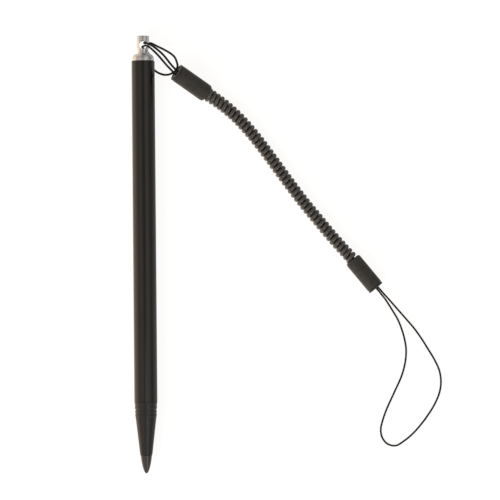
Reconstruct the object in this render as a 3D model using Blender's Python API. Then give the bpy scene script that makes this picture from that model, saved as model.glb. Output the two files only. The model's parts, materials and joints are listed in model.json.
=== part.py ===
"""Pocket organiser stylus on a curly tether, lying on a table.

The stylus lies along Y with its writing tip at -Y. The tether runs from the eyelet on its end
plug: a thread loop, a sleeve, a curly cord, a second sleeve and a long thread loop for the
organiser's lanyard slot. Lengths are in metres and +Z is up.
"""

import math

import bpy
from mathutils import Vector

# Stylus
BARREL_RADIUS = 0.0035
BARREL_BORE_RADIUS = 0.0030
BARREL_EDGE = 0.00015
BARREL_FRONT_Y = -0.0445
BARREL_BACK_Y = 0.0587
AXIS_Z = BARREL_RADIUS

SPIGOT_RADIUS = 0.0027
SEAM_GAP = 0.0003
SPIGOT_LENGTH = 0.0075
SPIGOT_EDGE = 0.0003

NECK_RADIUS = 0.0034
NECK_END_Y = -0.0489
NECK_END_RADIUS = 0.0032
NECK_STEP = 0.00015
FIRST_GROOVE = 0.00078
GROOVE_PITCH = 0.0013
GROOVE_COUNT = 3
GROOVE_WIDTH = 0.00035
GROOVE_DEPTH = 0.00012
CONE_BACK_RADIUS = 0.00312
CONE_FRONT_Y = -0.0608
CONE_FRONT_RADIUS = 0.00177
SHANK_BORE_RADIUS = 0.0012
SHANK_BORE_LENGTH = 0.0060

TIP_BACK_Y = -0.0611
TIP_END_Y = -0.0663
TIP_RADIUS = 0.00164
TIP_ROUNDNESS = 1.25
SHANK_RADIUS = 0.0009
SHANK_LENGTH = 0.0052

COLLAR_FRONT_Y = 0.0590
COLLAR_BACK_Y = 0.0609
COLLAR_RADIUS = 0.00327
COLLAR_SHOULDER = 0.00162
POST_RADIUS = 0.00165
HEAD_FRONT_Y = 0.0621
HEAD_RADIUS = 0.00187
HEAD_BACK_Y = 0.0663
HEAD_EDGE = 0.0003
EYELET_Y = 0.0635
EYELET_RADIUS = 0.0012
EYELET_DRILL_LENGTH = 0.0075

# Sleeves: each has a thread end and a coil end, and a crimp tube inside
UPPER_SLEEVE_THREAD_END = Vector((0.01005, 0.05513, 0.00560))
UPPER_SLEEVE_COIL_END = Vector((0.01933, 0.04856, 0.00262))
UPPER_SLEEVE_RADIUS = 0.00268
LOWER_SLEEVE_THREAD_END = Vector((0.07010, -0.01071, 0.00247))
LOWER_SLEEVE_COIL_END = Vector((0.06290, -0.00190, 0.00247))
LOWER_SLEEVE_RADIUS = 0.00245
SLEEVE_THREAD_HOLE = 0.00105
SLEEVE_CAVITY = 0.00155
SLEEVE_COIL_HOLE = 0.00095
SLEEVE_THREAD_WALL = 0.0012
SLEEVE_COIL_WALL = 0.0020
SLEEVE_ROUND = 0.0007
SLEEVE_EDGE = 0.0002
CRIMP_START = 0.0035
CRIMP_LENGTH = 0.0042
CRIMP_RADIUS = 0.00125
CRIMP_BORE = 0.00095
CRIMP_MIDDLE = CRIMP_START + CRIMP_LENGTH / 2

# Cords
UPPER_THREAD_RADIUS = 0.000275
LOWER_THREAD_RADIUS = 0.00024
COIL_RADIUS = 0.00195
COIL_WIRE_RADIUS = 0.00070
CRIMPED_OFFSET = 0.00033
TAIL_REACH = 0.00035
THREAD_STEP = 0.0014
COIL_STEP = 0.0060

# The thread's way from one side of the sleeve to the other. It enters the eyelet from above,
# runs back under the end plug, over its own two legs, and up through the eyelet again.
UPPER_LEG_OFFSETS = (-0.00060, 0.00045)
UPPER_THREAD_ROUTE = [
    (0.0084, 0.05595, 0.0057),
    (0.0070, 0.05745, 0.0058),
    (0.0045, 0.0604, 0.00595),
    (0.0022, 0.0626, 0.0060),
    (0.0015, 0.06305, 0.00595),
    (0.00085, 0.06325, 0.00565),
    (0.0004, 0.0632, 0.0046),
    (-0.0002, 0.0631, 0.0024),
    (-0.0003, 0.0630, 0.0015),
    (-0.0001, 0.0628, 0.00085),
    (0.0003, 0.0625, 0.0005),
    (0.0010, 0.0618, 0.0003),
    (0.0017, 0.0609, 0.0003),
    (0.0024, 0.05855, 0.0003),
    (0.0030, 0.05655, 0.0003),
    (0.0038, 0.05565, 0.00045),
    (0.0050, 0.05495, 0.0016),
    (0.0064, 0.05445, 0.0035),
    (0.0079, 0.05445, 0.0054),
    (0.0091, 0.05495, 0.0064),
    (0.0097, 0.05535, 0.0065),
    (0.0102, 0.05605, 0.00645),
    (0.0105, 0.05705, 0.00635),
    (0.0102, 0.05835, 0.0060),
    (0.0097, 0.05955, 0.0053),
    (0.0089, 0.06045, 0.0046),
    (0.0078, 0.06125, 0.0038),
    (0.0058, 0.06245, 0.0023),
    (0.0043, 0.06320, 0.0015),
    (0.0030, 0.06395, 0.0010),
    (0.0021, 0.06425, 0.00085),
    (0.0013, 0.06425, 0.00085),
    (0.0007, 0.0641, 0.0013),
    (0.0004, 0.0641, 0.0022),
    (0.0004, 0.0641, 0.0049),
    (0.0007, 0.0642, 0.00575),
    (0.0015, 0.0638, 0.00605),
    (0.0033, 0.06285, 0.0060),
    (0.0061, 0.06045, 0.0059),
    (0.0085, 0.05745, 0.0057),
]

LOWER_LEG_OFFSETS = (-0.00003, -0.00060)
LOWER_THREAD_ROUTE = [
    (0.0716, -0.01255, 0.0023),
    (0.0730, -0.01435, 0.0017),
    (0.0749, -0.01735, 0.0008),
    (0.0767, -0.02045, 0.00035),
    (0.0779, -0.02355, 0.00029),
    (0.0787, -0.02655, 0.00029),
    (0.0791, -0.02955, 0.00029),
    (0.0788, -0.03335, 0.00029),
    (0.0776, -0.03765, 0.00029),
    (0.0755, -0.04225, 0.00029),
    (0.0730, -0.04765, 0.00029),
    (0.0716, -0.05165, 0.00029),
    (0.0712, -0.05405, 0.00029),
    (0.0717, -0.05635, 0.00029),
    (0.0733, -0.05815, 0.00029),
    (0.0758, -0.05865, 0.00029),
    (0.0784, -0.05715, 0.00029),
    (0.0806, -0.05535, 0.00029),
    (0.0828, -0.05305, 0.00029),
    (0.0850, -0.05025, 0.00029),
    (0.0872, -0.04695, 0.00029),
    (0.0889, -0.04335, 0.00029),
    (0.0896, -0.03985, 0.00029),
    (0.0892, -0.03615, 0.00029),
    (0.0877, -0.03265, 0.00029),
    (0.0858, -0.02945, 0.00029),
    (0.0837, -0.02605, 0.00029),
    (0.0815, -0.02295, 0.00029),
    (0.0793, -0.02035, 0.00035),
    (0.0768, -0.01745, 0.0008),
    (0.0741, -0.01435, 0.0017),
    (0.0724, -0.01245, 0.0023),
]

COIL_ROUTE = [
    (0.0199, 0.0482, 0.0025),
    (0.0219, 0.0468, 0.0021),
    (0.0244, 0.0450, 0.0020),
    (0.0285, 0.0413, 0.00198),
    (0.0322, 0.0372, 0.00198),
    (0.0356, 0.0329, 0.00198),
    (0.0389, 0.0284, 0.00198),
    (0.0421, 0.0239, 0.00198),
    (0.0453, 0.0195, 0.00198),
    (0.0486, 0.0151, 0.00198),
    (0.0521, 0.0108, 0.00198),
    (0.0556, 0.0065, 0.00198),
    (0.0592, 0.0023, 0.0020),
    (0.0611, 0.0002, 0.0021),
    (0.0625, -0.0014, 0.0024),
]

# Resolution
STYLUS_SIDES = 48
SLEEVE_SIDES = 32
TIP_RINGS = 8
ROUND_STEPS = 3
EYELET_SIDES = 32
CORD_BEVEL_STEPS = 2
CURVE_STEPS = 12
MERGE_DISTANCE = 0.00001


def clear_scene():
    for obj in list(bpy.data.objects):
        bpy.data.objects.remove(obj, do_unlink=True)


def material(name, colour, roughness, metallic=0.0):
    made = bpy.data.materials.new(name)
    made.use_nodes = True
    shader = made.node_tree.nodes["Principled BSDF"]
    shader.inputs["Base Color"].default_value = (*colour, 1.0)
    shader.inputs["Roughness"].default_value = roughness
    shader.inputs["Metallic"].default_value = metallic
    return made


def add_object(name, data, finish):
    obj = bpy.data.objects.new(name, data)
    obj.data.materials.append(finish)
    bpy.context.collection.objects.link(obj)
    return obj


def lathe(name, profile, closed, sides, finish):
    """A turned piece on local Z from (radius, height) points, outer side first, top to bottom."""
    mesh = bpy.data.meshes.new(name)
    edges = [(i, i + 1) for i in range(len(profile) - 1)]
    if closed:
        edges.append((len(profile) - 1, 0))
    mesh.from_pydata([(radius, 0.0, height) for radius, height in profile], edges, [])
    obj = add_object(name, mesh, finish)
    screw = obj.modifiers.new("Turn", "SCREW")
    screw.axis = "Z"
    screw.steps = sides
    screw.render_steps = sides
    screw.use_merge_vertices = True
    screw.merge_threshold = MERGE_DISTANCE
    screw.use_smooth_shade = True
    return obj


def arc(centre_radius, centre_height, size, start_deg, end_deg):
    """Points of a round in the profile plane."""
    points = []
    for step in range(ROUND_STEPS + 1):
        angle = math.radians(start_deg + (end_deg - start_deg) * step / ROUND_STEPS)
        points.append((centre_radius + size * math.cos(angle), centre_height + size * math.sin(angle)))
    return points


def lay_along_stylus(obj):
    """Turns local Z to world +Y, on the stylus's axis."""
    obj.rotation_euler = (-math.pi / 2, 0.0, 0.0)
    obj.location = (0.0, 0.0, AXIS_Z)


def place_between(obj, start, end):
    """Puts the local origin at start, with local Z towards end."""
    obj.location = start
    obj.rotation_mode = "QUATERNION"
    obj.rotation_quaternion = (end - start).to_track_quat("Z", "Y")


def smooth_route(points, step):
    """Points about one step apart on a Catmull-Rom curve through the route."""
    knots = [Vector(point) for point in points]
    ends = [2 * knots[0] - knots[1]] + knots + [2 * knots[-1] - knots[-2]]
    fine = []
    for a, b, c, d in zip(ends, ends[1:], ends[2:], ends[3:]):
        for part in range(CURVE_STEPS):
            t = part / CURVE_STEPS
            fine.append(
                0.5 * (2 * b + (c - a) * t + (2 * a - 5 * b + 4 * c - d) * t**2)
                + 0.5 * (3 * b - a - 3 * c + d) * t**3
            )
    fine.append(knots[-1])
    lengths = [(q - p).length for p, q in zip(fine, fine[1:])]
    count = max(2, round(sum(lengths) / step))
    spacing = sum(lengths) / count
    route = [fine[0]]
    travelled = 0.0
    for start, end, length in zip(fine, fine[1:], lengths):
        while len(route) < count and travelled + length >= spacing * len(route):
            share = (spacing * len(route) - travelled) / length
            route.append(start.lerp(end, share))
        travelled += length
    route.append(fine[-1])
    return route


def cord(name, route, radius, finish):
    """A closed tube along the route."""
    curve = bpy.data.curves.new(name, "CURVE")
    curve.dimensions = "3D"
    curve.bevel_depth = radius
    curve.bevel_resolution = CORD_BEVEL_STEPS
    curve.use_fill_caps = True
    spline = curve.splines.new("POLY")
    spline.points.add(len(route) - 1)
    for point, place in zip(spline.points, route):
        point.co = (*place, 1.0)
        point.radius = 1.0
    spline.use_smooth = True
    return add_object(name, curve, finish)


def in_sleeve(thread_end, coil_end, distance, offset):
    """A point on the sleeve's axis at this distance from its thread end, moved level to one side."""
    along = (coil_end - thread_end).normalized()
    side = Vector((-along.y, along.x, 0.0)).normalized()
    return thread_end + along * distance + side * offset


# Stylus ---------------------------------------------------------------------------------------


def barrel_tube(finish):
    """Open aluminium tube with broken edges."""
    profile = [
        (BARREL_RADIUS - BARREL_EDGE, BARREL_BACK_Y),
        (BARREL_RADIUS, BARREL_BACK_Y - BARREL_EDGE),
        (BARREL_RADIUS, BARREL_FRONT_Y + BARREL_EDGE),
        (BARREL_RADIUS - BARREL_EDGE, BARREL_FRONT_Y),
        (BARREL_BORE_RADIUS, BARREL_FRONT_Y),
        (BARREL_BORE_RADIUS, BARREL_BACK_Y),
    ]
    lay_along_stylus(lathe("barrel_tube", profile, True, STYLUS_SIDES, finish))


def nose_cone(finish):
    """Cone with a grooved neck, a spigot for the barrel and a blind bore for the tip's shank."""
    back_y = BARREL_FRONT_Y - SEAM_GAP
    spigot_y = back_y + SPIGOT_LENGTH
    profile = [
        (0.0, spigot_y),
        (SPIGOT_RADIUS - SPIGOT_EDGE, spigot_y),
        (SPIGOT_RADIUS, spigot_y - SPIGOT_EDGE),
        (SPIGOT_RADIUS, back_y),
        (NECK_RADIUS, back_y),
    ]
    slope = (NECK_END_RADIUS - NECK_RADIUS) / (NECK_END_Y - back_y)
    for groove in range(GROOVE_COUNT):
        start = back_y - FIRST_GROOVE - GROOVE_PITCH * groove
        radius = NECK_RADIUS + slope * (start - back_y)
        profile.append((radius, start))
        profile.append((radius - GROOVE_DEPTH, start - GROOVE_WIDTH / 2))
        profile.append((radius + slope * -GROOVE_WIDTH, start - GROOVE_WIDTH))
    bore_end = CONE_FRONT_Y + SHANK_BORE_LENGTH
    profile += [
        (NECK_END_RADIUS, NECK_END_Y),
        (CONE_BACK_RADIUS, NECK_END_Y - NECK_STEP),
        (CONE_FRONT_RADIUS, CONE_FRONT_Y),
        (SHANK_BORE_RADIUS, CONE_FRONT_Y),
        (SHANK_BORE_RADIUS, bore_end),
        (0.0, bore_end),
    ]
    lay_along_stylus(lathe("nose_cone", profile, False, STYLUS_SIDES, finish))


def writing_tip(finish):
    """Soft-pointed plastic tip with a push-in shank."""
    profile = [
        (0.0, TIP_BACK_Y + SHANK_LENGTH),
        (SHANK_RADIUS, TIP_BACK_Y + SHANK_LENGTH),
        (SHANK_RADIUS, TIP_BACK_Y),
    ]
    for ring in range(TIP_RINGS):
        share = ring / TIP_RINGS
        height = TIP_BACK_Y + (TIP_END_Y - TIP_BACK_Y) * share
        profile.append((TIP_RADIUS * math.sqrt(1 - share**TIP_ROUNDNESS), height))
    profile.append((0.0, TIP_END_Y))
    lay_along_stylus(lathe("writing_tip", profile, False, STYLUS_SIDES, finish))


def end_plug(finish):
    """Round-shouldered collar, post and cross-drilled eyelet head, turned in one with the barrel's spigot."""
    spigot_y = COLLAR_FRONT_Y - SPIGOT_LENGTH
    profile = [
        (0.0, HEAD_BACK_Y),
        (HEAD_RADIUS - HEAD_EDGE, HEAD_BACK_Y),
        (HEAD_RADIUS, HEAD_BACK_Y - HEAD_EDGE),
        (HEAD_RADIUS, HEAD_FRONT_Y + HEAD_EDGE),
        (POST_RADIUS, HEAD_FRONT_Y),
    ]
    profile += arc(COLLAR_RADIUS - COLLAR_SHOULDER, COLLAR_BACK_Y - COLLAR_SHOULDER, COLLAR_SHOULDER, 90, 0)
    profile += [
        (SPIGOT_RADIUS, COLLAR_FRONT_Y),
        (SPIGOT_RADIUS, spigot_y + SPIGOT_EDGE),
        (SPIGOT_RADIUS - SPIGOT_EDGE, spigot_y),
        (0.0, spigot_y),
    ]
    plug = lathe("end_plug", profile, False, STYLUS_SIDES, finish)
    lay_along_stylus(plug)
    bpy.ops.mesh.primitive_cylinder_add(
        vertices=EYELET_SIDES,
        radius=EYELET_RADIUS,
        depth=EYELET_DRILL_LENGTH,
        location=(0.0, EYELET_Y, AXIS_Z),
    )
    cutter = bpy.context.object
    cutter.name = "eyelet_cutter"
    cutter.hide_render = True
    cutter.display_type = "WIRE"
    drill = plug.modifiers.new("Eyelet", "BOOLEAN")
    drill.operation = "DIFFERENCE"
    drill.solver = "EXACT"
    drill.object = cutter


# Tether ---------------------------------------------------------------------------------------


def sleeve(name, thread_end, coil_end, radius, finish):
    """Moulded tube, drilled through in three steps, with its local Z towards the coil."""
    length = (coil_end - thread_end).length
    profile = [(SLEEVE_COIL_HOLE, length)]
    profile += arc(radius - SLEEVE_ROUND, length - SLEEVE_ROUND, SLEEVE_ROUND, 90, 0)
    profile += [
        (radius, SLEEVE_EDGE),
        (radius - SLEEVE_EDGE, 0.0),
        (SLEEVE_THREAD_HOLE, 0.0),
        (SLEEVE_THREAD_HOLE, SLEEVE_THREAD_WALL),
        (SLEEVE_CAVITY, SLEEVE_THREAD_WALL),
        (SLEEVE_CAVITY, length - SLEEVE_COIL_WALL),
        (SLEEVE_COIL_HOLE, length - SLEEVE_COIL_WALL),
    ]
    place_between(lathe(name, profile, True, SLEEVE_SIDES, finish), thread_end, coil_end)


def crimp(name, thread_end, coil_end, finish):
    """Metal tube in the sleeve that grips the thread's ends and the coil's tail."""
    profile = [
        (CRIMP_RADIUS, CRIMP_LENGTH),
        (CRIMP_RADIUS, 0.0),
        (CRIMP_BORE, 0.0),
        (CRIMP_BORE, CRIMP_LENGTH),
    ]
    tube = lathe(name, profile, True, SLEEVE_SIDES, finish)
    place_between(tube, in_sleeve(thread_end, coil_end, CRIMP_START, 0.0), coil_end)


def coil_tail(name, thread_end, coil_end, finish):
    """Straight end of the curly cord's wire, from the crimp to just outside the sleeve."""
    length = (coil_end - thread_end).length
    inner = in_sleeve(thread_end, coil_end, CRIMP_MIDDLE + SEAM_GAP, 0.0)
    outer = in_sleeve(thread_end, coil_end, length + TAIL_REACH, 0.0)
    cord(name, [inner, inner.lerp(outer, 0.5), outer], COIL_WIRE_RADIUS, finish)


def thread_loop(name, thread_end, coil_end, route, offsets, radius, finish):
    """One thread, from the crimp, round the route and back into the crimp."""
    legs = []
    for offset in offsets:
        crimped = math.copysign(CRIMPED_OFFSET, offset - sum(offsets) / 2)
        legs.append(
            [
                in_sleeve(thread_end, coil_end, CRIMP_MIDDLE - SEAM_GAP, crimped),
                in_sleeve(thread_end, coil_end, CRIMP_START, crimped),
                in_sleeve(thread_end, coil_end, SLEEVE_THREAD_WALL, offset),
                in_sleeve(thread_end, coil_end, 0.0, offset),
            ]
        )
    whole = legs[0] + [Vector(point) for point in route] + legs[1][::-1]
    cord(name, smooth_route(whole, THREAD_STEP), radius, finish)


def main():
    clear_scene()
    anodised = material("barrel_black", (0.020, 0.018, 0.016), 0.35, 0.9)
    cone_black = material("cone_black", (0.03, 0.03, 0.03), 0.45)
    tip_plastic = material("tip_plastic", (0.035, 0.035, 0.035), 0.4)
    plated = material("plated_metal", (0.55, 0.54, 0.52), 0.2, 1.0)
    rubber = material("sleeve_rubber", (0.03, 0.03, 0.03), 0.6)
    coil_plastic = material("coil_plastic", (0.02, 0.02, 0.02), 0.4)
    thread = material("thread_black", (0.015, 0.015, 0.015), 0.8)
    crimp_metal = material("crimp_metal", (0.7, 0.55, 0.3), 0.35, 1.0)

    barrel_tube(anodised)
    nose_cone(cone_black)
    writing_tip(tip_plastic)
    end_plug(plated)

    upper = (UPPER_SLEEVE_THREAD_END, UPPER_SLEEVE_COIL_END)
    lower = (LOWER_SLEEVE_THREAD_END, LOWER_SLEEVE_COIL_END)
    sleeve("upper_sleeve", *upper, UPPER_SLEEVE_RADIUS, rubber)
    crimp("upper_crimp", *upper, crimp_metal)
    coil_tail("upper_coil_tail", *upper, coil_plastic)
    thread_loop(
        "upper_thread_loop", *upper, UPPER_THREAD_ROUTE, UPPER_LEG_OFFSETS, UPPER_THREAD_RADIUS, thread
    )
    sleeve("lower_sleeve", *lower, LOWER_SLEEVE_RADIUS, rubber)
    crimp("lower_crimp", *lower, crimp_metal)
    coil_tail("lower_coil_tail", *lower, coil_plastic)
    thread_loop(
        "lower_thread_loop", *lower, LOWER_THREAD_ROUTE, LOWER_LEG_OFFSETS, LOWER_THREAD_RADIUS, thread
    )
    cord("coil_cord", smooth_route(COIL_ROUTE, COIL_STEP), COIL_RADIUS, coil_plastic)


main()
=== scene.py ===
"""Looks of the tethered stylus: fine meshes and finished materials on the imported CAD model."""

import json
import math

import bpy
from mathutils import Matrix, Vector


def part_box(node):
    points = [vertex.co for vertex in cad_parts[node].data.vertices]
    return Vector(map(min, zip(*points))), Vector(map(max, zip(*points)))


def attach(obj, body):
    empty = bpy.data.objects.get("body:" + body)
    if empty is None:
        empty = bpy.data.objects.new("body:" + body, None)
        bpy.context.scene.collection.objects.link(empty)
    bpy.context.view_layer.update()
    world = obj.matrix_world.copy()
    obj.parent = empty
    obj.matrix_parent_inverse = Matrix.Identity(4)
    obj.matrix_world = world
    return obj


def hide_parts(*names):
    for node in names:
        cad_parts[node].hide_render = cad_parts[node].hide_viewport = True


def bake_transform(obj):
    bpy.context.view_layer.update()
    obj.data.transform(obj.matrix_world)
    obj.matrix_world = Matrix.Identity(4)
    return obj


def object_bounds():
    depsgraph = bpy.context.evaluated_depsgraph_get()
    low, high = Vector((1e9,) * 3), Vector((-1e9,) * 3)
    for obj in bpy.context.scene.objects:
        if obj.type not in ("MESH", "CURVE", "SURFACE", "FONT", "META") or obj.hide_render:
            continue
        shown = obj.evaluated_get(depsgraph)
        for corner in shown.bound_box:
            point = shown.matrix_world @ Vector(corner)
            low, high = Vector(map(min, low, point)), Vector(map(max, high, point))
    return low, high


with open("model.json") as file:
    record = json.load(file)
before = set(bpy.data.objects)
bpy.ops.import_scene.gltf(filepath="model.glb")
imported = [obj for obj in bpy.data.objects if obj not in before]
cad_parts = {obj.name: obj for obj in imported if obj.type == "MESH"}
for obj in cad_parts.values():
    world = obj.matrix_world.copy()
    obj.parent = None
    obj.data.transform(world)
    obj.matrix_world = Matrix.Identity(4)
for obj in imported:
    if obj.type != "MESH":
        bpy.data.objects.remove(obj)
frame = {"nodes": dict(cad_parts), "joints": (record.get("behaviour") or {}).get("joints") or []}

CAD_LOW, CAD_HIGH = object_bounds()

# Places read from the CAD model ---------------------------------------------------------------

BARREL_LOW, BARREL_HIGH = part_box("barrel_tube")
PLUG_LOW, PLUG_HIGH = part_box("end_plug")
AXIS_Z = (BARREL_LOW.z + BARREL_HIGH.z) / 2
BARREL_RADIUS = (BARREL_HIGH.x - BARREL_LOW.x) / 2
COLLAR_RADIUS = (PLUG_HIGH.x - PLUG_LOW.x) / 2
EYELET = Vector(next(j["pos_m"] for j in frame["joints"] if j["name"] == "tether_swing"))
STRETCH = Vector(next(j["axis"] for j in frame["joints"] if j["name"] == "tether_stretch"))

# Camera, in metres ----------------------------------------------------------------------------

VIEW_OFFSET = Vector((-0.01125, 0.00115, 0.0))
VIEW_WIDTH = 0.1515
VIEW_HEIGHT = 1.1
VIEW_ROLL = math.radians(-0.478)
VIEW_CLIP = (0.01, 100.0)
SENSOR_MM = 36.0

# Fineness of the meshes -----------------------------------------------------------------------

STYLUS_SIDES = 96
SLEEVE_SIDES = 72
EYELET_SIDES = 64
THREAD_SIDES = 14
COIL_SIDES = 14
ARC_STEPS = 6
EASE_STEPS = 5
CONE_STEPS = 12
FILLET_STEPS = 4
SHOULDER_STEPS = 14
EYELET_STEPS = 12
SLEEVE_STEPS = 8
TIP_RINGS = 40
TIP_RING_SPREAD = 0.8  # below 1, the rings lie closer towards the point
CURVE_PARTS = 40
ON_AXIS = 1e-9
SHARP_DEG = 40.0
PLUG_SHARP_DEG = 35.0
TUBE_SHARP_DEG = 70.0

# Stylus, in metres ----------------------------------------------------------------------------

HAIRLINE = 0.00002  # gap between pieces that touch
BARREL_WALL = 0.0005
BARREL_LIP = 0.00018
FRONT_LIP = 0.00004
SPIGOT_RADIUS = 0.0027
SPIGOT_LENGTH = 0.0075

NECK_RADIUS = 0.00345
NECK_END_Y = -0.0489
NECK_END_RADIUS = 0.00328
CONE_BACK_RADIUS = 0.00319
CONE_FRONT_Y = -0.0608
CONE_FRONT_RADIUS = 0.00183
CONE_EDGE = 0.00012
RING_PLACES = (-0.0453, -0.0467, -0.0478)
RING_DEPTHS = (0.00010, 0.00020, 0.00012)
RING_STEP_WIDTH = 0.00028
SHANK_BORE_RADIUS = 0.0012
SHANK_BORE_LENGTH = 0.0060

TIP_RADIUS = 0.00169
TIP_EDGE = 0.00004
TIP_END_Y = -0.0663
TIP_ROUNDNESS = 1.25
SHANK_RADIUS = 0.0009
SHANK_LENGTH = 0.0052

COLLAR_BACK_Y = 0.0609
COLLAR_SHOULDER = 0.00160
SHOULDER_START_DEG = 88
COLLAR_EDGE = 0.00006
POST_RADIUS = 0.00165
POST_FILLET = 0.00015
HEAD_FRONT_Y = 0.0621
HEAD_STEP = 0.0005
HEAD_RADIUS = 0.00187
HEAD_EDGE = 0.00028
EYELET_RADIUS = 0.0012
EYELET_FLARE = 0.00022
EYELET_FLARE_RATE = 6  # the higher, the closer the flare stays to the mouths

# Sleeves, in metres ---------------------------------------------------------------------------

UPPER_THREAD_END = Vector((0.01005, 0.05513, 0.00560))
UPPER_COIL_END = Vector((0.01933, 0.04856, 0.00262))
UPPER_SLEEVE_RADIUS = 0.00274
LOWER_THREAD_END = Vector((0.07010, -0.01071, 0.00247))
LOWER_COIL_END = Vector((0.06290, -0.00190, 0.00247))
LOWER_SLEEVE_RADIUS = 0.00253
SLEEVE_RIM = 0.00022
SLEEVE_RIM_WIDTH = 0.00042
SLEEVE_RIM_SLANT = 0.00004
SLEEVE_RIM_DROP = 0.00003
SLEEVE_FACE_DEPTH = 0.00022
SLEEVE_GROOVE_PLACE = 0.00065
SLEEVE_GROOVE_WIDTH = 0.00044
SLEEVE_GROOVE_DEPTH = 0.00020
SLEEVE_THREAD_HOLE = 0.00105
SLEEVE_HOLE_ROUND = 0.00012
SLEEVE_HOLE_CORNER = 0.00003
SLEEVE_THREAD_WALL = 0.0012
SLEEVE_CAVITY = 0.00155
SLEEVE_COIL_WALL = 0.0020
SLEEVE_COIL_HOLE = 0.00095
SLEEVE_SOCKET_DEPTH = 0.00105
SLEEVE_SOCKET_GAP = 0.00006
SLEEVE_SOCKET_LIP = 0.00006
SLEEVE_ROUND = 0.0008
CRIMP_START = 0.0035
CRIMP_MIDDLE = 0.0056
CRIMPED_OFFSET = 0.00033
CRIMP_GAP = 0.0003

# Threads, in metres ---------------------------------------------------------------------------

UPPER_THREAD_RADIUS = 0.00034
LOWER_THREAD_RADIUS = 0.00030
SQUEEZED = 0.86  # share of the thread's radius left in the eyelet
SQUEEZE_REACH = (0.0022, 0.0046)  # from the eyelet's middle, fully squeezed to free
UPPER_LEG_OFFSETS = (-0.00060, 0.00045)
LOWER_LEG_OFFSETS = (-0.00003, -0.00060)
THREAD_RING_STEP = 0.00011
THREAD_PLIES = 3
THREAD_TWIST = 0.0016
THREAD_PLY_DEPTH = 0.11

# Curly cord, in metres ------------------------------------------------------------------------

COIL_WIRE_RADIUS = 0.00070
COIL_MEAN_RADIUS = 0.00128
COIL_UPPER_SWELL = 0.00024  # added to the mean radius at the upper end, fading downwards
COIL_SWELL_FADE = 5
COIL_TURNS = 44.95
COIL_START_DEG = 99.0
COIL_LEAD_TURNS = 0.75  # turns in which the helix opens from the tail
COIL_INSET = 0.00095
COIL_PITCHES = (1.42, 1.48, 1.45)  # at its start, middle and end, relative to each other
COIL_UNEVEN = 0.015
COIL_UNEVEN_WAVES = (9.7 * math.pi, 23.0)
COIL_POINTS_PER_TURN = 24
COIL_RING_STEP = COIL_MEAN_RADIUS * 2 * math.pi / COIL_POINTS_PER_TURN

# Textures -------------------------------------------------------------------------------------

NOISE_LOW, NOISE_HIGH = 0.3, 0.7  # nearly all of a noise texture lies between them
ONE_BAND = 0.32  # wave scale that gives one line per unit of the texture

# Light, with directions as components from -1 to 1 --------------------------------------------

FLOOR_REACH = 3.0
FLOOR_GLOW = 0.90
HORIZON_BLEND = 0.06
ROOM_FALL = (-0.50, 0.70, 1.22, 0.74)
ROOM_ABOVE = [
    (-1.00, (1.15, 0.86, 0.68)),
    (-0.98, (0.86, 0.64, 0.50)),
    (-0.93, (0.56, 0.41, 0.33)),
    (-0.83, (0.50, 0.41, 0.36)),
    (-0.50, (0.58, 0.51, 0.46)),
    (-0.34, (0.50, 0.44, 0.40)),
    (-0.17, (0.28, 0.26, 0.22)),
    (0.00, (0.16, 0.15, 0.13)),
    (0.17, (0.32, 0.30, 0.26)),
    (0.34, (0.60, 0.55, 0.50)),
    (0.50, (0.68, 0.62, 0.57)),
    (0.65, (0.58, 0.53, 0.48)),
    (0.80, (0.38, 0.35, 0.32)),
    (0.93, (0.25, 0.23, 0.22)),
    (0.98, (0.27, 0.25, 0.24)),
    (1.00, (0.52, 0.49, 0.47)),
]
ROOM_BELOW = [
    (-1.00, (1.15, 0.88, 0.70)),
    (-0.30, (1.00, 0.84, 0.70)),
    (0.30, (0.46, 0.45, 0.45)),
    (1.00, (0.50, 0.49, 0.49)),
]
BACKDROP = (1.0, 1.0, 0.995, 1.0)
KEY_PLACE = Vector((-0.90, -0.90, 1.0))
KEY_TARGET = Vector((0.0, 0.0, 0.0))
KEY_WIDTH = 1.0
KEY_RADIANCE = 4.0
STRIP_PLACE = Vector((0.100, -0.190, 0.250))
STRIP_TARGET = Vector((0.0, -0.060, 0.0))
STRIP_WIDTH = 0.06
STRIP_LENGTH = 0.34
STRIP_RADIANCE = 0.9

# Routes, the CAD model's own points -----------------------------------------------------------

UPPER_THREAD_ROUTE = [
    (0.0084, 0.05595, 0.0057),
    (0.0070, 0.05745, 0.0058),
    (0.0045, 0.0604, 0.00595),
    (0.0022, 0.0626, 0.0060),
    (0.0015, 0.06305, 0.00595),
    (0.00085, 0.06325, 0.00565),
    (0.0004, 0.0632, 0.0046),
    (-0.0002, 0.0631, 0.0024),
    (-0.0003, 0.0630, 0.0015),
    (-0.0001, 0.0628, 0.00085),
    (0.0003, 0.0625, 0.0005),
    (0.0010, 0.0618, 0.0003),
    (0.0017, 0.0609, 0.0003),
    (0.0024, 0.05855, 0.0003),
    (0.0030, 0.05655, 0.0003),
    (0.0038, 0.05565, 0.00045),
    (0.0050, 0.05495, 0.0016),
    (0.0064, 0.05445, 0.0035),
    (0.0079, 0.05445, 0.0054),
    (0.0091, 0.05495, 0.0064),
    (0.0097, 0.05535, 0.0065),
    (0.0102, 0.05605, 0.00645),
    (0.0105, 0.05705, 0.00635),
    (0.0102, 0.05835, 0.0060),
    (0.0097, 0.05955, 0.0053),
    (0.0089, 0.06045, 0.0046),
    (0.0078, 0.06125, 0.0038),
    (0.0058, 0.06245, 0.0023),
    (0.0043, 0.06320, 0.0015),
    (0.0030, 0.06395, 0.0010),
    (0.0021, 0.06425, 0.00085),
    (0.0013, 0.06425, 0.00085),
    (0.0007, 0.0641, 0.0013),
    (0.0004, 0.0641, 0.0022),
    (0.0004, 0.0641, 0.0049),
    (0.0007, 0.0642, 0.00575),
    (0.0015, 0.0638, 0.00605),
    (0.0033, 0.06285, 0.0060),
    (0.0061, 0.06045, 0.0059),
    (0.0085, 0.05745, 0.0057),
]

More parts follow.
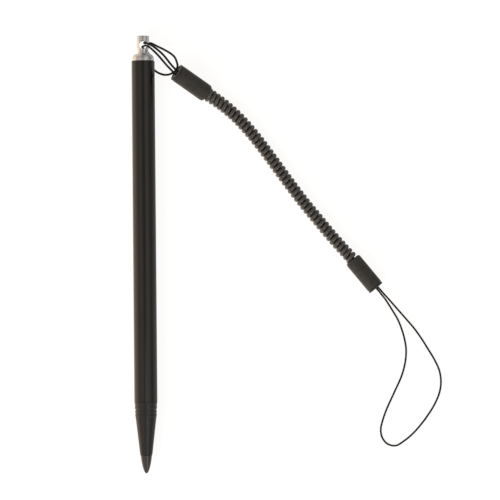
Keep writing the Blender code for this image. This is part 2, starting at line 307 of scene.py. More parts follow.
LOWER_THREAD_ROUTE = [
    (0.0716, -0.01255, 0.0023),
    (0.0730, -0.01435, 0.0017),
    (0.0749, -0.01735, 0.0008),
    (0.0767, -0.02045, 0.00035),
    (0.0779, -0.02355, 0.00029),
    (0.0787, -0.02655, 0.00029),
    (0.0791, -0.02955, 0.00029),
    (0.0788, -0.03335, 0.00029),
    (0.0776, -0.03765, 0.00029),
    (0.0755, -0.04225, 0.00029),
    (0.0730, -0.04765, 0.00029),
    (0.0716, -0.05165, 0.00029),
    (0.0712, -0.05405, 0.00029),
    (0.0717, -0.05635, 0.00029),
    (0.0733, -0.05815, 0.00029),
    (0.0758, -0.05865, 0.00029),
    (0.0784, -0.05715, 0.00029),
    (0.0806, -0.05535, 0.00029),
    (0.0828, -0.05305, 0.00029),
    (0.0850, -0.05025, 0.00029),
    (0.0872, -0.04695, 0.00029),
    (0.0889, -0.04335, 0.00029),
    (0.0896, -0.03985, 0.00029),
    (0.0892, -0.03615, 0.00029),
    (0.0877, -0.03265, 0.00029),
    (0.0858, -0.02945, 0.00029),
    (0.0837, -0.02605, 0.00029),
    (0.0815, -0.02295, 0.00029),
    (0.0793, -0.02035, 0.00035),
    (0.0768, -0.01745, 0.0008),
    (0.0741, -0.01435, 0.0017),
    (0.0724, -0.01245, 0.0023),
]

COIL_ROUTE = [
    (0.0199, 0.0482, 0.0025),
    (0.0219, 0.0468, 0.0021),
    (0.0244, 0.0450, 0.0020),
    (0.0285, 0.0413, 0.00198),
    (0.0322, 0.0372, 0.00198),
    (0.0356, 0.0329, 0.00198),
    (0.0389, 0.0284, 0.00198),
    (0.0421, 0.0239, 0.00198),
    (0.0453, 0.0195, 0.00198),
    (0.0486, 0.0151, 0.00198),
    (0.0521, 0.0108, 0.00198),
    (0.0556, 0.0065, 0.00198),
    (0.0592, 0.0023, 0.0020),
    (0.0611, 0.0002, 0.0021),
    (0.0625, -0.0014, 0.0024),
]


# Camera ---------------------------------------------------------------------------------------


def add_camera():
    """Straight above the object, with a long lens."""
    lens = bpy.data.cameras.new("camera")
    lens.sensor_width = SENSOR_MM
    lens.lens = SENSOR_MM * VIEW_HEIGHT / VIEW_WIDTH
    lens.clip_start, lens.clip_end = VIEW_CLIP
    camera = bpy.data.objects.new("camera", lens)
    bpy.context.scene.collection.objects.link(camera)
    middle = (CAD_LOW + CAD_HIGH) / 2 + VIEW_OFFSET
    camera.location = (middle.x, middle.y, AXIS_Z + VIEW_HEIGHT)
    camera.rotation_euler = (0.0, 0.0, VIEW_ROLL)
    bpy.context.scene.camera = camera


# Mesh helpers ---------------------------------------------------------------------------------


def add_mesh(name, vertices, faces, sharp_deg=SHARP_DEG):
    """A smooth-shaded object whose edges stay sharp above an angle."""
    mesh = bpy.data.meshes.new(name)
    mesh.from_pydata(vertices, [], faces)
    mesh.update()
    mesh.shade_smooth()
    mesh.set_sharp_from_angle(angle=math.radians(sharp_deg))
    obj = bpy.data.objects.new(name, mesh)
    bpy.context.scene.collection.objects.link(obj)
    return obj


def turned(name, profile, sides, place, closed=False):
    """A turned mesh from (radius, height) points, outer side from the top down.

    place(x, y, height) puts a point of the local frame in the model's frame.
    """
    vertices = []
    rings = []
    for radius, height in profile:
        if radius < ON_AXIS:
            rings.append([len(vertices)])
            vertices.append(place(0.0, 0.0, height))
            continue
        rings.append(list(range(len(vertices), len(vertices) + sides)))
        for side in range(sides):
            angle = 2 * math.pi * side / sides
            vertices.append(place(radius * math.cos(angle), radius * math.sin(angle), height))
    faces = []
    pairs = list(zip(rings, rings[1:]))
    if closed:
        pairs.append((rings[-1], rings[0]))
    for upper, lower in pairs:
        for side in range(sides):
            after = (side + 1) % sides
            corners = [upper[side % len(upper)], lower[side % len(lower)]]
            corners += [lower[after % len(lower)], upper[after % len(upper)]]
            faces.append(list(dict.fromkeys(corners)))
    return add_mesh(name, vertices, faces)


def on_stylus(x, y, height):
    """Local frame of the stylus: height runs along +Y."""
    return Vector((x, height, AXIS_Z - y))


def in_eyelet(x, y, height):
    """Local frame of the eyelet: height runs along +Z."""
    return Vector((EYELET.x + x, EYELET.y + y, AXIS_Z + height))


def level_side(along):
    """The level direction square to another."""
    return Vector((-along.y, along.x, 0.0)).normalized()


def between(start, end):
    """Local frame of a sleeve: height runs from start towards end."""
    along = (end - start).normalized()
    side = level_side(along)
    up = along.cross(side)
    return lambda x, y, height: start + side * x + up * y + along * height


def arc(centre_radius, centre_height, size, start_deg, end_deg, steps=ARC_STEPS):
    """(radius, height) points on a round edge, for a turned profile."""
    points = []
    for step in range(steps + 1):
        angle = math.radians(start_deg + (end_deg - start_deg) * step / steps)
        radius = centre_radius + size * math.cos(angle)
        points.append((radius, centre_height + size * math.sin(angle)))
    return points


def eased_shares():
    """(share, eased share) pairs from 0 to 1, for a step without hard edges."""
    shares = [step / EASE_STEPS for step in range(EASE_STEPS + 1)]
    return [(share, share * share * (3 - 2 * share)) for share in shares]


def clamped(value):
    return min(1.0, max(0.0, value))


def smooth_route(points, step):
    """Points about one step apart on a Catmull-Rom curve through the route."""
    knots = [Vector(point) for point in points]
    ends = [2 * knots[0] - knots[1]] + knots + [2 * knots[-1] - knots[-2]]
    fine = []
    for a, b, c, d in zip(ends, ends[1:], ends[2:], ends[3:]):
        for part in range(CURVE_PARTS):
            t = part / CURVE_PARTS
            fine.append(
                0.5 * (2 * b + (c - a) * t + (2 * a - 5 * b + 4 * c - d) * t**2)
                + 0.5 * (3 * b - a - 3 * c + d) * t**3
            )
    fine.append(knots[-1])
    lengths = [(q - p).length for p, q in zip(fine, fine[1:])]
    count = max(2, round(sum(lengths) / step))
    spacing = sum(lengths) / count
    route = [fine[0]]
    travelled = 0.0
    for start, end, length in zip(fine, fine[1:], lengths):
        while len(route) < count and travelled + length >= spacing * len(route):
            share = (spacing * len(route) - travelled) / length
            route.append(start.lerp(end, share))
        travelled += length
    route.append(fine[-1])
    return route


def frames_along(points):
    """(side, up) unit vectors at each point, carried along the line without twisting."""
    tangents = []
    for i in range(len(points)):
        ahead = points[min(i + 1, len(points) - 1)]
        behind = points[max(i - 1, 0)]
        tangents.append((ahead - behind).normalized())
    side = Vector((0.0, 0.0, 1.0)).cross(tangents[0])
    frames = []
    for tangent in tangents:
        side = (side - tangent * side.dot(tangent)).normalized()
        frames.append((side, tangent.cross(side)))
    return frames


def tube(name, points, sides, radius_at):
    """A closed tube; radius_at(centre, distance, angle) gives its section."""
    vertices = []
    distance = 0.0
    for i, (point, (side, up)) in enumerate(zip(points, frames_along(points))):
        if i:
            distance += (point - points[i - 1]).length
        for corner in range(sides):
            angle = 2 * math.pi * corner / sides
            radius = radius_at(point, distance, angle)
            vertices.append(
                point + side * radius * math.cos(angle) + up * radius * math.sin(angle)
            )
    faces = []
    for ring in range(len(points) - 1):
        for corner in range(sides):
            after = (corner + 1) % sides
            low, high = ring * sides, (ring + 1) * sides
            faces.append([low + corner, low + after, high + after, high + corner])
    faces.append(list(range(sides))[::-1])
    faces.append([(len(points) - 1) * sides + corner for corner in range(sides)])
    return add_mesh(name, vertices, faces, TUBE_SHARP_DEG)


# Cords ----------------------------------------------------------------------------------------


def in_sleeve(thread_end, coil_end, distance, offset=0.0):
    """A point in a sleeve, this far from its thread end, moved level to one side of its axis."""
    along = (coil_end - thread_end).normalized()
    return thread_end + along * distance + level_side(along) * offset


def thread_loop(name, thread_end, coil_end, route, offsets, radius):
    """Twisted thread, from the crimp, round the route and back, squeezed at the eyelet."""
    legs = []
    for offset in offsets:
        crimped = math.copysign(CRIMPED_OFFSET, offset - sum(offsets) / 2)
        places = [
            (CRIMP_MIDDLE - CRIMP_GAP, crimped),
            (CRIMP_START, crimped),
            (SLEEVE_THREAD_WALL, offset),
            (0.0, offset),
        ]
        legs.append([in_sleeve(thread_end, coil_end, *place) for place in places])
    whole = legs[0] + [Vector(point) for point in route] + legs[1][::-1]
    centres = smooth_route(whole, THREAD_RING_STEP)
    near, far = SQUEEZE_REACH

    def section(centre, distance, angle):
        free = clamped(((centre - EYELET).length - near) / (far - near))
        phase = THREAD_PLIES / 2 * (angle - 2 * math.pi * distance / THREAD_TWIST)
        full = radius * (SQUEEZED + (1 - SQUEEZED) * free)
        return full * (1 - THREAD_PLY_DEPTH * (1 - abs(math.cos(phase))))

    return tube(name, centres, THREAD_SIDES, section), centres


def coil_pitches(count):
    """How far each step of the helix goes along the cord, as relative lengths."""
    first, middle, last = COIL_PITCHES
    slow, fast = COIL_UNEVEN_WAVES
    pitches = []
    for step in range(count):
        share = step / count
        even = first + (middle - first) * min(1.0, 2 * share)
        even += (last - middle) * max(0.0, 2 * share - 1)
        uneven = COIL_UNEVEN * math.sin(slow * share) * math.cos(fast * share)
        pitches.append(even * (1 + uneven))
    return pitches


def helix(core):
    """Centreline of the turns round the core line, drawn in to the core at both ends."""
    frames = frames_along(core)
    count = round(COIL_TURNS * COIL_POINTS_PER_TURN)
    pitches = coil_pitches(count)
    scale = (len(core) - 1) / sum(pitches)
    turns = []
    place = 0.0
    for step in range(count + 1):
        index = min(len(core) - 1, int(place))
        after = min(len(core) - 1, index + 1)
        centre = core[index].lerp(core[after], place - index)
        side, up = frames[index]
        turn = step / COIL_POINTS_PER_TURN
        lead = min(1.0, turn / COIL_LEAD_TURNS, (COIL_TURNS - turn) / COIL_LEAD_TURNS)
        swell = COIL_UPPER_SWELL * math.exp(-COIL_SWELL_FADE * step / count)
        radius = (COIL_MEAN_RADIUS + swell) * math.sin(lead * math.pi / 2) ** 2
        angle = math.radians(COIL_START_DEG) + 2 * math.pi * turn
        lifted = centre + Vector((0.0, 0.0, swell))
        turns.append(lifted + side * radius * math.cos(angle) + up * radius * math.sin(angle))
        place += pitches[min(step, count - 1)] * scale
    return turns


def coil_centres():
    """Centreline of the curly cord: a straight tail, the turns, a straight tail."""
    upper = (UPPER_THREAD_END, UPPER_COIL_END)
    lower = (LOWER_THREAD_END, LOWER_COIL_END)
    upper_length = (UPPER_COIL_END - UPPER_THREAD_END).length
    lower_length = (LOWER_COIL_END - LOWER_THREAD_END).length
    start = in_sleeve(*upper, upper_length - COIL_INSET)
    end = in_sleeve(*lower, lower_length - COIL_INSET)
    turns = helix(smooth_route([start, *COIL_ROUTE, end], COIL_WIRE_RADIUS / 4))
    return [
        in_sleeve(*upper, CRIMP_MIDDLE + CRIMP_GAP),
        in_sleeve(*upper, upper_length - SLEEVE_COIL_WALL),
        *turns,
        in_sleeve(*lower, lower_length - SLEEVE_COIL_WALL),
        in_sleeve(*lower, CRIMP_MIDDLE + CRIMP_GAP),
    ]


def curly_cord():
    """Curly cord between the two sleeves; the stretch weights it works out along the cord are not
    used.
    """
    centres = smooth_route(coil_centres(), COIL_RING_STEP)
    cord = tube("curly_cord", centres, COIL_SIDES, lambda *place: COIL_WIRE_RADIUS)
    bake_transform(cord)
    span = (LOWER_COIL_END - UPPER_COIL_END).dot(STRETCH)
    weights = []
    for centre in centres:
        weights += [clamped((centre - UPPER_COIL_END).dot(STRETCH) / span)] * COIL_SIDES
    return cord, centres


# Turned pieces --------------------------------------------------------------------------------


def barrel():
    """Tube with a rounded back edge and a crisp front edge."""
    bore = BARREL_RADIUS - BARREL_WALL
    top, bottom = BARREL_HIGH.y, BARREL_LOW.y
    profile = arc(BARREL_RADIUS - BARREL_LIP, top - BARREL_LIP, BARREL_LIP, 90, 0)
    profile += arc(BARREL_RADIUS - FRONT_LIP, bottom + FRONT_LIP, FRONT_LIP, 0, -90)
    profile += [(bore, bottom), (bore, top)]
    return turned("barrel", profile, STYLUS_SIDES, on_stylus, closed=True)


def nose():
    """Spigot, neck with three fine rings, cone, and the tip's blind bore."""
    back = BARREL_LOW.y - HAIRLINE
    spigot_end = back + SPIGOT_LENGTH
    slope = (NECK_END_RADIUS - NECK_RADIUS) / (NECK_END_Y - back)
    profile = [(0.0, spigot_end), (SPIGOT_RADIUS, spigot_end), (SPIGOT_RADIUS, back)]
    profile += [(NECK_RADIUS - FRONT_LIP, back), (NECK_RADIUS, back - FRONT_LIP)]
    for ring, depth in zip(RING_PLACES, RING_DEPTHS):
        for share, eased in eased_shares():
            height = ring + RING_STEP_WIDTH * (0.5 - share)
            profile.append((NECK_RADIUS + slope * (height - back) - depth * eased, height))
    for share, eased in eased_shares():
        height = NECK_END_Y + RING_STEP_WIDTH * (0.5 - share)
        profile.append((NECK_END_RADIUS + (CONE_BACK_RADIUS - NECK_END_RADIUS) * eased, height))
    for step in range(1, CONE_STEPS):
        share = step / CONE_STEPS
        height = NECK_END_Y + (CONE_FRONT_Y - NECK_END_Y) * share
        profile.append((CONE_BACK_RADIUS + (CONE_FRONT_RADIUS - CONE_BACK_RADIUS) * share, height))
    profile += arc(CONE_FRONT_RADIUS - CONE_EDGE, CONE_FRONT_Y + CONE_EDGE, CONE_EDGE, 0, -90)
    bore_end = CONE_FRONT_Y + SHANK_BORE_LENGTH
    profile += [(SHANK_BORE_RADIUS, CONE_FRONT_Y), (SHANK_BORE_RADIUS, bore_end), (0.0, bore_end)]
    return turned("nose", profile, STYLUS_SIDES, on_stylus)


def tip():
    """Round-ended tip with its push-in shank."""
    back = CONE_FRONT_Y - HAIRLINE
    shank_end = back + SHANK_LENGTH
    profile = [(0.0, shank_end), (SHANK_RADIUS, shank_end), (SHANK_RADIUS, back)]
    profile.append((TIP_RADIUS - TIP_EDGE, back))
    for ring in range(TIP_RINGS):
        share = (ring / TIP_RINGS) ** TIP_RING_SPREAD
        height = back - TIP_EDGE + (TIP_END_Y - back + TIP_EDGE) * share
        profile.append((TIP_RADIUS * math.sqrt(1 - share**TIP_ROUNDNESS), height))
    profile.append((0.0, TIP_END_Y))
    return turned("tip", profile, STYLUS_SIDES, on_stylus)


def eyelet_drill():
    """The eyelet as a solid, wider towards both mouths."""
    half = HEAD_RADIUS + EYELET_FLARE
    outline = [(0.0, half)]
    for step in range(EYELET_STEPS + 1):
        share = step / EYELET_STEPS * 2 - 1
        flare = EYELET_FLARE * math.exp(EYELET_FLARE_RATE * (abs(share) - 1))
        outline.append((EYELET_RADIUS + flare, -half * share))
    outline.append((0.0, -half))
    return turned("eyelet_drill", outline, EYELET_SIDES, in_eyelet)


def plug():
    """Round-shouldered collar, post and head, drilled across for the eyelet."""
    top = PLUG_HIGH.y
    front = BARREL_HIGH.y + HAIRLINE
    spigot_end = front - SPIGOT_LENGTH
    profile = [(0.0, top)]
    profile += arc(HEAD_RADIUS - HEAD_EDGE, top - HEAD_EDGE, HEAD_EDGE, 90, 0)
    for share, eased in eased_shares():
        height = HEAD_FRONT_Y + HEAD_STEP - HEAD_STEP * share
        profile.append((HEAD_RADIUS + (POST_RADIUS - HEAD_RADIUS) * eased, height))
    profile += arc(
        POST_RADIUS + POST_FILLET, COLLAR_BACK_Y + POST_FILLET, POST_FILLET,
        180, 270, FILLET_STEPS,
    )
    profile += arc(
        COLLAR_RADIUS - COLLAR_SHOULDER, COLLAR_BACK_Y - COLLAR_SHOULDER, COLLAR_SHOULDER,
        SHOULDER_START_DEG, 0, SHOULDER_STEPS,
    )
    profile += [(COLLAR_RADIUS, front + COLLAR_EDGE), (COLLAR_RADIUS - COLLAR_EDGE, front)]
    profile += [(SPIGOT_RADIUS, front), (SPIGOT_RADIUS, spigot_end), (0.0, spigot_end)]
    body = turned("plug", profile, STYLUS_SIDES, on_stylus)

    drill = eyelet_drill()
    cut = body.modifiers.new("Eyelet", "BOOLEAN")
    cut.operation = "DIFFERENCE"
    cut.solver = "EXACT"
    cut.object = drill
    bpy.context.view_layer.update()
    result = body.evaluated_get(bpy.context.evaluated_depsgraph_get())
    mesh = bpy.data.meshes.new_from_object(result)
    body.modifiers.clear()
    body.data = mesh
    mesh.shade_smooth()
    mesh.set_sharp_from_angle(angle=math.radians(PLUG_SHARP_DEG))
    bpy.data.objects.remove(drill)
    return body


def sleeve(name, thread_end, coil_end, radius, coil_radius):
    """Moulded sleeve, from the socket for the coil's end turn to the thread's hole.

    Its thread end has a fine groove round it, a rim and a recessed face.
    """
    length = (coil_end - thread_end).length
    shoulder = length - SLEEVE_ROUND
    socket = coil_radius + SLEEVE_SOCKET_GAP
    socket_floor = length - SLEEVE_SOCKET_DEPTH
    cavity_end = length - SLEEVE_COIL_WALL
    outer = radius - SLEEVE_ROUND
    reach = math.degrees(math.acos(min(1.0, (socket + SLEEVE_SOCKET_LIP - outer) / SLEEVE_ROUND)))
    profile = [(SLEEVE_COIL_HOLE, socket_floor), (socket, socket_floor)]
    profile += arc(outer, shoulder, SLEEVE_ROUND, reach, 0, SLEEVE_STEPS)
    groove_back = SLEEVE_GROOVE_PLACE + SLEEVE_GROOVE_WIDTH / 2
    for step in range(1, SLEEVE_STEPS):
        profile.append((radius, shoulder + (groove_back - shoulder) * step / SLEEVE_STEPS))
    for step in range(SLEEVE_STEPS + 1):
        dip = SLEEVE_GROOVE_DEPTH * math.sin(math.pi * step / SLEEVE_STEPS) ** 2
        profile.append((radius - dip, groove_back - SLEEVE_GROOVE_WIDTH * step / SLEEVE_STEPS))
    profile += arc(radius - SLEEVE_RIM, SLEEVE_RIM, SLEEVE_RIM, 0, -90)
    inner = radius - SLEEVE_RIM - SLEEVE_RIM_WIDTH
    profile += [
        (inner + SLEEVE_RIM_SLANT, 0.0),
        (inner, SLEEVE_RIM_DROP),
        (inner - SLEEVE_RIM_SLANT, SLEEVE_FACE_DEPTH),
        (SLEEVE_THREAD_HOLE + SLEEVE_HOLE_ROUND, SLEEVE_FACE_DEPTH),
        (SLEEVE_THREAD_HOLE + SLEEVE_HOLE_CORNER, SLEEVE_FACE_DEPTH + SLEEVE_HOLE_CORNER),
        (SLEEVE_THREAD_HOLE, SLEEVE_FACE_DEPTH + SLEEVE_HOLE_ROUND),
        (SLEEVE_THREAD_HOLE, SLEEVE_THREAD_WALL),
        (SLEEVE_CAVITY, SLEEVE_THREAD_WALL),
        (SLEEVE_CAVITY, cavity_end),
        (SLEEVE_COIL_HOLE, cavity_end),
    ]
    return turned(name, profile, SLEEVE_SIDES, between(thread_end, coil_end), closed=True)


# Materials ------------------------------------------------------------------------------------


def map_range(tree, value, low, high, bottom, top):
    """value mapped from low..high to bottom..top, and held at both ends."""
    node = tree.nodes.new("ShaderNodeMapRange")
    node.inputs["From Min"].default_value = low
    node.inputs["From Max"].default_value = high
    node.inputs["To Min"].default_value = bottom
    node.inputs["To Max"].default_value = top
    tree.links.new(value, node.inputs["Value"])
    return node.outputs["Result"]


def colour_ramp(tree, value, stops):
    """Colour from (position, colour) stops between 0 and 1."""
    ramp = tree.nodes.new("ShaderNodeValToRGB")
    band = ramp.color_ramp
    while len(band.elements) < len(stops):
        band.elements.new(1.0)
    for element, (position, colour) in zip(band.elements, stops):
        element.position = position
        element.color = (*colour, 1.0)
    tree.links.new(value, ramp.inputs["Fac"])
    return ramp.outputs["Color"]


class Finish:
    """A Principled material and the few nodes that give it its detail."""

    def __init__(self, name, ior=1.5, metallic=0.0):
        self.material = bpy.data.materials.new(name)
        self.material.use_nodes = True
        self.tree = self.material.node_tree
        self.shader = self.tree.nodes["Principled BSDF"]
        self.set("IOR", ior)
        self.set("Metallic", metallic)
        self.coordinates = self.tree.nodes.new("ShaderNodeTexCoord").outputs["Object"]

    def set(self, socket, value):
        self.shader.inputs[socket].default_value = value

    def texture(self, kind, size, stretch=(1.0, 1.0, 1.0)):
        """A texture node whose unit is size metres, times stretch along each axis."""
        mapping = self.tree.nodes.new("ShaderNodeMapping")
        mapping.inputs["Scale"].default_value = [1 / (size * s) for s in stretch]
        self.tree.links.new(self.coordinates, mapping.inputs["Vector"])
        texture = self.tree.nodes.new(kind)
        self.tree.links.new(mapping.outputs["Vector"], texture.inputs["Vector"])
        return texture

    def noise(self, size, detail=3.0, stretch=(1.0, 1.0, 1.0), distortion=0.0):
        """Noise whose grains are about size metres wide."""
        texture = self.texture("ShaderNodeTexNoise", size, stretch)
        texture.inputs["Scale"].default_value = 1.0
        texture.inputs["Detail"].default_value = detail
        texture.inputs["Distortion"].default_value = distortion
        return texture.outputs["Fac"]

    def bands(self, axis, size, distortion, detail=3.0):
        """Fine lines across an axis, about size metres apart."""
        texture = self.texture("ShaderNodeTexWave", size)
        texture.wave_type = "BANDS"
        texture.bands_direction = axis
        texture.inputs["Scale"].default_value = ONE_BAND
        texture.inputs["Detail"].default_value = detail
        texture.inputs["Distortion"].default_value = distortion
        return texture.outputs["Fac"]

    def spread(self, value, bottom, top, low=NOISE_LOW, high=NOISE_HIGH):
        """value mapped from the usual range of noise to bottom..top."""
        return map_range(self.tree, value, low, high, bottom, top)

    def add(self, first, second):
        node = self.tree.nodes.new("ShaderNodeMath")
        node.operation = "ADD"
        self.tree.links.new(first, node.inputs[0])
        self.tree.links.new(second, node.inputs[1])
        return node.outputs["Value"]

    def colour(self, value, stops):
        """Base colour from (position, colour) stops."""
        colour = colour_ramp(self.tree, value, stops)
        self.tree.links.new(colour, self.shader.inputs["Base Color"])

    def roughness(self, value):
        self.tree.links.new(value, self.shader.inputs["Roughness"])

    def relief(self, value, depth):
        """Bumps depth metres high."""
        bump = self.tree.nodes.new("ShaderNodeBump")
        bump.inputs["Strength"].default_value = 1.0
        bump.inputs["Distance"].default_value = depth
        self.tree.links.new(value, bump.inputs["Height"])
        self.tree.links.new(bump.outputs["Normal"], self.shader.inputs["Normal"])

    def mottle(self, size, dark, light, **noise):
        """Base colour between two, in patches about size metres wide."""
        self.colour(self.noise(size, **noise), [(NOISE_LOW, dark), (NOISE_HIGH, light)])

    def wear(self, size, smooth, rough, **noise):
        """Roughness between two, in patches about size metres wide."""
        self.roughness(self.spread(self.noise(size, **noise), smooth, rough))

    def grain(self, size, depth, **noise):
        """Bumps about size metres wide and depth metres high."""
        self.relief(self.noise(size, **noise), depth)


def anodised_black():
    """Drawn and anodised tube: faint lines along it, a slightly uneven dye and hairline rubs."""
    finish = Finish("anodised_black", ior=1.6)
    finish.mottle(
        0.0030, (0.0060, 0.0052, 0.0045), (0.0095, 0.0082, 0.0070),
        detail=4.0, stretch=(1.0, 3.0, 1.0),
    )
    patches = finish.spread(finish.noise(0.0045), 0.17, 0.23)
    drawn = finish.noise(0.00010, detail=2.0, stretch=(1.0, 90.0, 1.0))
    satin = finish.add(patches, finish.spread(drawn, -0.02, 0.03))
    scratches = finish.noise(0.00018, detail=2.0, stretch=(1.0, 16.0, 1.0), distortion=0.6)
    rubs = finish.spread(scratches, 0.0, 0.10, low=0.66, high=0.74)
    finish.roughness(finish.add(satin, rubs))
    finish.relief(drawn, 0.0000012)
    return finish.material


def satin_black():
    """Sprayed satin black with a fine orange peel."""
    finish = Finish("satin_black", ior=1.58)
    finish.mottle(0.0016, (0.0082, 0.0079, 0.0073), (0.0112, 0.0108, 0.0100), detail=4.0)
    finish.wear(0.0009, smooth=0.28, rough=0.36)
    finish.grain(0.00016, depth=0.0000010, detail=2.0)
    return finish.material


def tip_plastic():
    """Smooth nylon, polished at its point by use."""
    finish = Finish("tip_plastic", ior=1.90)
    finish.mottle(0.0012, (0.0065, 0.0064, 0.0068), (0.0095, 0.0093, 0.0099))
    finish.wear(0.0006, smooth=0.22, rough=0.32)
    finish.grain(0.00012, depth=0.0000015)
    return finish.material


def nickel_plate():
    """Turned and plated: tool marks round the axis and a little haze."""
    finish = Finish("nickel_plate", metallic=1.0)
    tarnish = finish.noise(0.0011, detail=4.0)
    finish.colour(tarnish, [(0.25, (0.77, 0.81, 0.84)), (0.75, (0.90, 0.94, 0.97))])
    haze = finish.spread(finish.noise(0.0007, detail=4.0), 0.22, 0.36, low=0.35, high=0.75)
    tool_marks = finish.bands("Y", 0.00009, distortion=0.4)
    rougher = finish.spread(tool_marks, 0.0, 0.05, low=0.0, high=1.0)
    finish.roughness(finish.add(haze, rougher))
    finish.relief(tool_marks, 0.0000016)
    return finish.material


def sleeve_rubber():
    """Matte moulded thermoplastic rubber with a spark-eroded grain."""
    finish = Finish("sleeve_rubber")
    finish.set("Sheen Weight", 0.12)
    finish.set("Sheen Roughness", 0.45)
    finish.mottle(0.0014, (0.0245, 0.0236, 0.0216), (0.0380, 0.0366, 0.0336), detail=4.0)
    finish.wear(0.0005, smooth=0.46, rough=0.62, detail=4.0)
    finish.grain(0.00009, depth=0.000010)
    return finish.material


def coil_plastic():
    """Extruded polyurethane: satin and faintly uneven, with specks of dust."""
    finish = Finish("coil_plastic", ior=2.05)
    patches = finish.spread(finish.noise(0.0016, detail=4.0), 0.0, 0.45)
    dust = finish.spread(finish.noise(0.00012, detail=2.0), 0.0, 1.0, low=0.70, high=0.78)
    stops = [
        (0.0, (0.0270, 0.0258, 0.0235)),
        (0.5, (0.0370, 0.0355, 0.0324)),
        (1.0, (0.085, 0.081, 0.074)),
    ]
    finish.colour(finish.add(patches, dust), stops)
    finish.wear(0.0006, smooth=0.14, rough=0.24)
    finish.grain(0.00010, depth=0.000002, detail=2.0)
    return finish.material


def thread_fibre():
    """Dull black polyester fibres."""
    finish = Finish("thread_fibre", ior=1.4)
    finish.set("Sheen Weight", 0.08)
    finish.set("Sheen Roughness", 0.5)
    finish.mottle(0.00010, (0.0035, 0.0033, 0.0030), (0.0110, 0.0105, 0.0095), distortion=1.0)
    finish.wear(0.00008, smooth=0.65, rough=0.90)
    finish.grain(0.00005, depth=0.000014, distortion=1.5)
    return finish.material


def crimp_brass():
    """Drawn brass tube, a little tarnished."""
    finish = Finish("crimp_brass", metallic=1.0)
    finish.mottle(0.0009, (0.48, 0.35, 0.16), (0.72, 0.56, 0.29), detail=4.0)
    finish.wear(0.0004, smooth=0.22, rough=0.42, detail=4.0)
    finish.grain(0.00007, depth=0.000004)
    return finish.material


def pale_floor():
    """White light-table top, lit a little from below."""
    finish = Finish("pale_floor", ior=1.2)
    finish.set("Roughness", 0.9)
    finish.mottle(0.05, (0.19, 0.19, 0.19), (0.21, 0.21, 0.21))
    finish.set("Emission Color", (1.0, 1.0, 0.99, 1.0))
    finish.set("Emission Strength", FLOOR_GLOW)
    return finish.material


def dress(piece, slot, material, *replaced):
    """Gives a piece its material and hides the CAD nodes it stands for; its slot is not used."""
    piece.data.materials.clear()
    piece.data.materials.append(material)
    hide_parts(*replaced)
    return piece


# Studio ---------------------------------------------------------------------------------------


def room_colour(tree, across, stops):
    """The room's colour from stops placed from -1 to 1."""
    return colour_ramp(tree, across, [((place + 1) / 2, colour) for place, colour in stops])


def surroundings():
    """Dim studio with soft bands of light on either side, darker towards +Y.

    The camera itself sees a plain white backdrop.
    """
    world = bpy.data.worlds.new("studio")
    world.use_nodes = True
    bpy.context.scene.world = world
    tree = world.node_tree
    direction = tree.nodes.new("ShaderNodeTexCoord")
    split = tree.nodes.new("ShaderNodeSeparateXYZ")
    tree.links.new(direction.outputs["Generated"], split.inputs["Vector"])
    x, y, z = (split.outputs[axis] for axis in "XYZ")
    across = map_range(tree, x, -1.0, 1.0, 0.0, 1.0)
    level = tree.nodes.new("ShaderNodeMix")
    level.data_type = "RGBA"
    rise = map_range(tree, z, -HORIZON_BLEND, HORIZON_BLEND, 0.0, 1.0)
    tree.links.new(rise, level.inputs["Factor"])
    tree.links.new(room_colour(tree, across, ROOM_BELOW), level.inputs["A"])
    tree.links.new(room_colour(tree, across, ROOM_ABOVE), level.inputs["B"])
    room = tree.nodes["Background"]
    tree.links.new(level.outputs["Result"], room.inputs["Color"])
    tree.links.new(map_range(tree, y, *ROOM_FALL), room.inputs["Strength"])

    backdrop = tree.nodes.new("ShaderNodeBackground")
    backdrop.inputs["Color"].default_value = BACKDROP
    ray = tree.nodes.new("ShaderNodeLightPath")
    mix = tree.nodes.new("ShaderNodeMixShader")
    tree.links.new(ray.outputs["Is Camera Ray"], mix.inputs["Fac"])
    tree.links.new(room.outputs["Background"], mix.inputs[1])
    tree.links.new(backdrop.outputs["Background"], mix.inputs[2])
    tree.links.new(mix.outputs["Shader"], tree.nodes["World Output"].inputs["Surface"])


def area_light(name, place, target, width, length, radiance):
    """A rectangular lamp of the given radiance, which the camera doesn't see."""
    lamp = bpy.data.lights.new(name, "AREA")
    lamp.shape = "RECTANGLE"
    lamp.size = width
    lamp.size_y = length
    lamp.energy = radiance * math.pi * width * length
    light = bpy.data.objects.new(name, lamp)
    light.location = place
    light.rotation_euler = (target - place).to_track_quat("-Z", "Y").to_euler()
    light.visible_camera = False
    bpy.context.scene.collection.objects.link(light)
    return light


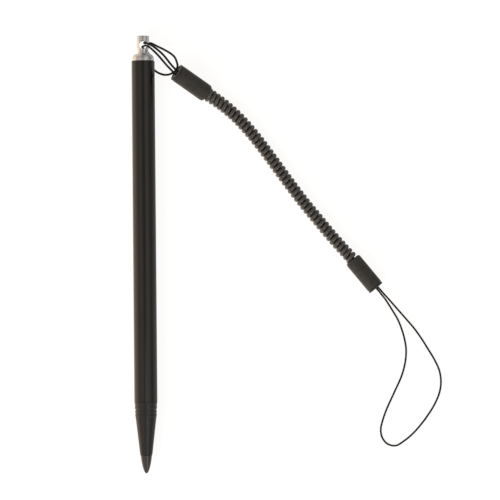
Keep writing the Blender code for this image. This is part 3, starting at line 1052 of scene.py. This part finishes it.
def studio():
    """Floor, room and lamps."""
    corners = [
        (-FLOOR_REACH, -FLOOR_REACH, 0.0),
        (FLOOR_REACH, -FLOOR_REACH, 0.0),
        (FLOOR_REACH, FLOOR_REACH, 0.0),
        (-FLOOR_REACH, FLOOR_REACH, 0.0),
    ]
    floor = add_mesh("floor", corners, [[0, 1, 2, 3]])
    floor.data.materials.append(pale_floor())
    floor.visible_glossy = False
    surroundings()
    key = area_light("key", KEY_PLACE, KEY_TARGET, KEY_WIDTH, KEY_WIDTH, KEY_RADIANCE)
    key.visible_glossy = False
    area_light("strip", STRIP_PLACE, STRIP_TARGET, STRIP_WIDTH, STRIP_LENGTH, STRIP_RADIANCE)
    bpy.context.scene.view_settings.view_transform = "Standard"


# Assembly -------------------------------------------------------------------------------------


def add_tether():
    """Threads, curly cord and sleeves, and brass on the CAD model's own crimps."""
    thread = thread_fibre()
    brass = crimp_brass()
    rubber = sleeve_rubber()
    upper_thread, upper_path = thread_loop(
        "upper_thread", UPPER_THREAD_END, UPPER_COIL_END, UPPER_THREAD_ROUTE, UPPER_LEG_OFFSETS,
        UPPER_THREAD_RADIUS,
    )
    lower_thread, lower_path = thread_loop(
        "lower_thread", LOWER_THREAD_END, LOWER_COIL_END, LOWER_THREAD_ROUTE, LOWER_LEG_OFFSETS,
        LOWER_THREAD_RADIUS,
    )
    coil, coil_path = curly_cord()
    coil_radius = COIL_MEAN_RADIUS + COIL_WIRE_RADIUS
    upper_sleeve = sleeve(
        "sleeve_upper", UPPER_THREAD_END, UPPER_COIL_END, UPPER_SLEEVE_RADIUS,
        coil_radius + COIL_UPPER_SWELL,
    )
    lower_sleeve = sleeve(
        "sleeve_lower", LOWER_THREAD_END, LOWER_COIL_END, LOWER_SLEEVE_RADIUS, coil_radius
    )

    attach(dress(upper_thread, "thread", thread, "upper_thread_loop"), "tether")
    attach(dress(lower_thread, "thread", thread, "lower_thread_loop"), "tether_end")
    dress(coil, "coil", coil_plastic(), "coil_cord", "upper_coil_tail", "lower_coil_tail")
    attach(dress(upper_sleeve, "sleeve", rubber, "upper_sleeve"), "tether")
    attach(dress(lower_sleeve, "sleeve", rubber, "lower_sleeve"), "tether_end")
    for node in ("upper_crimp", "lower_crimp"):
        for slot in frame["nodes"][node].material_slots:
            slot.material = brass


def add_stylus():
    """The stylus's four turned pieces."""
    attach(dress(barrel(), "barrel", anodised_black(), "barrel_tube"), "stylus")
    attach(dress(nose(), "cone", satin_black(), "nose_cone"), "stylus")
    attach(dress(tip(), "tip", tip_plastic(), "writing_tip"), "stylus")
    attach(dress(plug(), "plug", nickel_plate(), "end_plug"), "stylus")


def main():
    add_camera()
    add_tether()
    add_stylus()
    studio()


main()
